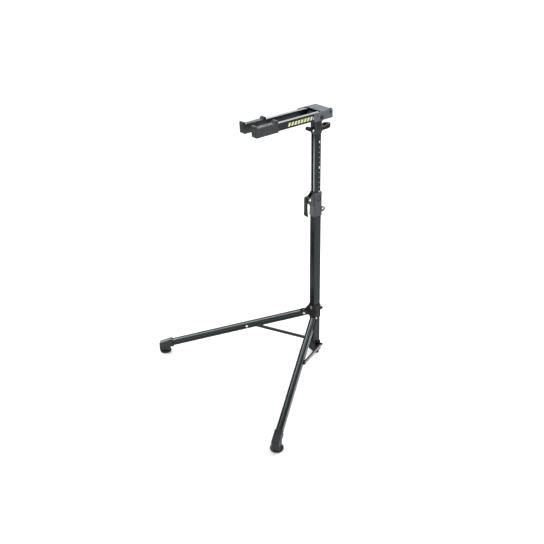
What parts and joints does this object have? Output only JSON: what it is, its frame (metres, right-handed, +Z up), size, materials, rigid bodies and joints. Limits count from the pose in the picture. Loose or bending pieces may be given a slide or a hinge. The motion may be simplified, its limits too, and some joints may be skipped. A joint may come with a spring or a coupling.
{
  "type": "bicycle repair stand",
  "caption": "Folding bicycle repair stand with a telescopic square column, two braced front legs and a padded two-arm cradle.",
  "frame": {"origin": "on the floor, under the middle of the column", "axes": "+Z up along the column; the legs and the cradle's arms point towards -Y"},
  "size_m": [0.8628, 0.6017, 1.0759],
  "materials": {
    "anodised": "black satin anodised extrusion",
    "painted_steel": "black satin paint",
    "yoke_paint": "grey satin paint on folded sheet",
    "moulded_plastic": "charcoal, fine moulded grain",
    "lever_plastic": "black, fine moulded grain",
    "foot_rubber": "black rubber",
    "pad_rubber": "charcoal soft rubber",
    "bright_steel": "plain zinc-plated steel",
    "dark_steel": "black oxide steel"
  },
  "bodies": {
    "base": {"column_foot": "foot_rubber", "base_bracket": "moulded_plastic", "base_bolt": "dark_steel", "base_nut": "dark_steel", "lower_tube": "anodised", "clamp_collar": "moulded_plastic", "clamp_shoe": "moulded_plastic", "clamp_pin": "bright_steel", "brace_a_pivot_screw": "dark_steel", "brace_b_pivot_screw": "dark_steel"},
    "mast": {"upper_tube": "anodised", "mast_end_bush": "moulded_plastic", "head_block": "moulded_plastic", "pivot_bolt": "dark_steel", "pivot_nut": "dark_steel", "pivot_washer_near": "moulded_plastic", "pivot_washer_far": "moulded_plastic", "head_lever_pin": "bright_steel"},
    "cradle": {"yoke": "yoke_paint", "yoke_bolt": "dark_steel", "yoke_nut": "dark_steel", "near_arm": "anodised", "near_arm_cap": "moulded_plastic", "near_pad_screw": "dark_steel", "near_pad": "pad_rubber", "far_arm": "anodised", "far_arm_cap": "moulded_plastic", "far_pad_screw": "dark_steel", "far_pad": "pad_rubber"},
    "clamp_handle": {"clamp_lever": "lever_plastic"},
    "head_handle": {"head_lever": "lever_plastic"},
    "pull_loop": {"release_loop": "lever_plastic"},
    "hub": {"hub_collar": "moulded_plastic", "hub_screw_upper": "bright_steel", "hub_screw_lower": "bright_steel", "leg_a_pivot_rivet": "bright_steel", "leg_b_pivot_rivet": "bright_steel"},
    "hub_knob": {"hub_lock_knob": "lever_plastic"},
    "leg_a": {"leg_a_tube": "anodised", "leg_a_brace_rivet": "bright_steel", "leg_a_boot": "moulded_plastic", "leg_a_foot": "foot_rubber"},
    "leg_b": {"leg_b_tube": "anodised", "leg_b_brace_rivet": "bright_steel", "leg_b_boot": "moulded_plastic", "leg_b_foot": "foot_rubber"},
    "brace_link_a": {"brace_a": "painted_steel", "brace_a_rivet": "dark_steel"},
    "brace_link_b": {"brace_b": "painted_steel", "brace_b_rivet": "dark_steel"}
  },
  "joints": [
    {"name": "mast_slide", "type": "slide", "parent": "base", "child": "mast", "axis": [0, 0, 1], "range_m": [-0.225, 0.1]},
    {"name": "cradle_fold", "type": "hinge", "parent": "mast", "child": "cradle", "pos_m": [0, -0.0143, 1.046], "axis": [1, 0, 0], "range_deg": [0, 95]},
    {"name": "clamp_lever_turn", "type": "hinge", "parent": "base", "child": "clamp_handle", "pos_m": [0, -0.039, 0.718], "axis": [-1, 0, 0], "range_deg": [0, 84]},
    {"name": "head_lever_turn", "type": "hinge", "parent": "mast", "child": "head_handle", "pos_m": [0, -0.024, 0.991], "axis": [1, 0, 0], "range_deg": [0, 80]},
    {"name": "pull_loop_slide", "type": "slide", "parent": "mast", "child": "pull_loop", "axis": [0, 1, 0], "range_m": [0, 0.008], "stiffness_N_per_m": 600, "springref_m": -0.004},
    {"name": "hub_slide", "type": "slide", "parent": "base", "child": "hub", "axis": [0, 0, 1], "range_m": [0, 0.3961]},
    {"name": "hub_knob_slide", "type": "slide", "parent": "hub", "child": "hub_knob", "axis": [0, 1, 0], "range_m": [0, 0.006], "stiffness_N_per_m": 800, "springref_m": -0.003},
    {"name": "leg_a_fold", "type": "hinge", "parent": "hub", "child": "leg_a", "pos_m": [-0.0317, -0.03233, 0.196], "axis": [0.7869, -0.617, 0], "range_deg": [0, 73.05]},
    {"name": "leg_b_fold", "type": "hinge", "parent": "hub", "child": "leg_b", "pos_m": [0.0317, -0.03233, 0.196], "axis": [0.7869, 0.617, 0], "range_deg": [0, 73.05]},
    {"name": "brace_a_fold", "type": "hinge", "parent": "base", "child": "brace_link_a", "pos_m": [-0.02321, 0.0182, 0.04], "axis": [0.7869, -0.617, 0], "range_deg": [-61.95, 0]},
    {"name": "brace_b_fold", "type": "hinge", "parent": "base", "child": "brace_link_b", "pos_m": [0.02321, 0.0182, 0.04], "axis": [0.7869, 0.617, 0], "range_deg": [-61.95, 0]}
  ],
  "couplings": [
    {"joint": "leg_a_fold", "follows": "hub_slide", "rad_per_m": 3.2158},
    {"joint": "leg_b_fold", "follows": "hub_slide", "rad_per_m": 3.2158},
    {"joint": "brace_a_fold", "follows": "hub_slide", "rad_per_m": -2.727},
    {"joint": "brace_b_fold", "follows": "hub_slide", "rad_per_m": -2.727}
  ]
}
